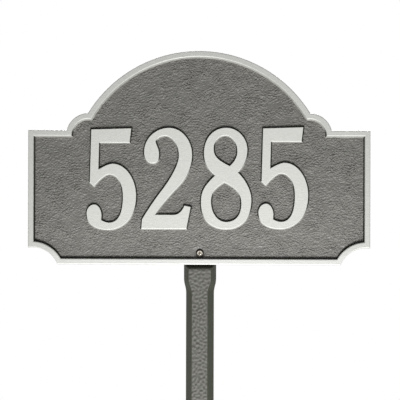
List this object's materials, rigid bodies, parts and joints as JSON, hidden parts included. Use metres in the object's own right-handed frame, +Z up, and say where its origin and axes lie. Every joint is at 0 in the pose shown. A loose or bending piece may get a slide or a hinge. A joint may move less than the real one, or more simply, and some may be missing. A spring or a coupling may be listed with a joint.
{
  "type": "lawn plaque",
  "caption": "Cast house-number plaque for a lawn, with an arched raised rim and raised numerals over a textured field, screwed to the tongue of a pointed ground stake.",
  "frame": {"origin": "at the height of the ground on the middle line of the stake and its screw, in the plane of the plaque's back, where the stake's tongue rests against it; the plaque's middle is 1.1 mm to the left of that line, and the stake goes on below the origin into the soil", "axes": "+Z up along the stake, +X to the viewer's right, -Y out of the plaque's face towards the viewer"},
  "size_m": [0.346, 0.0175, 0.6482],
  "materials": {
    "plaque_casting": "satin",
    "stake_casting": "satin",
    "screw_steel": "polished"
  },
  "bodies": {
    "root": {"plaque": "plaque_casting", "stake": "stake_casting", "screw": "screw_steel"}
  },
  "joints": []
}
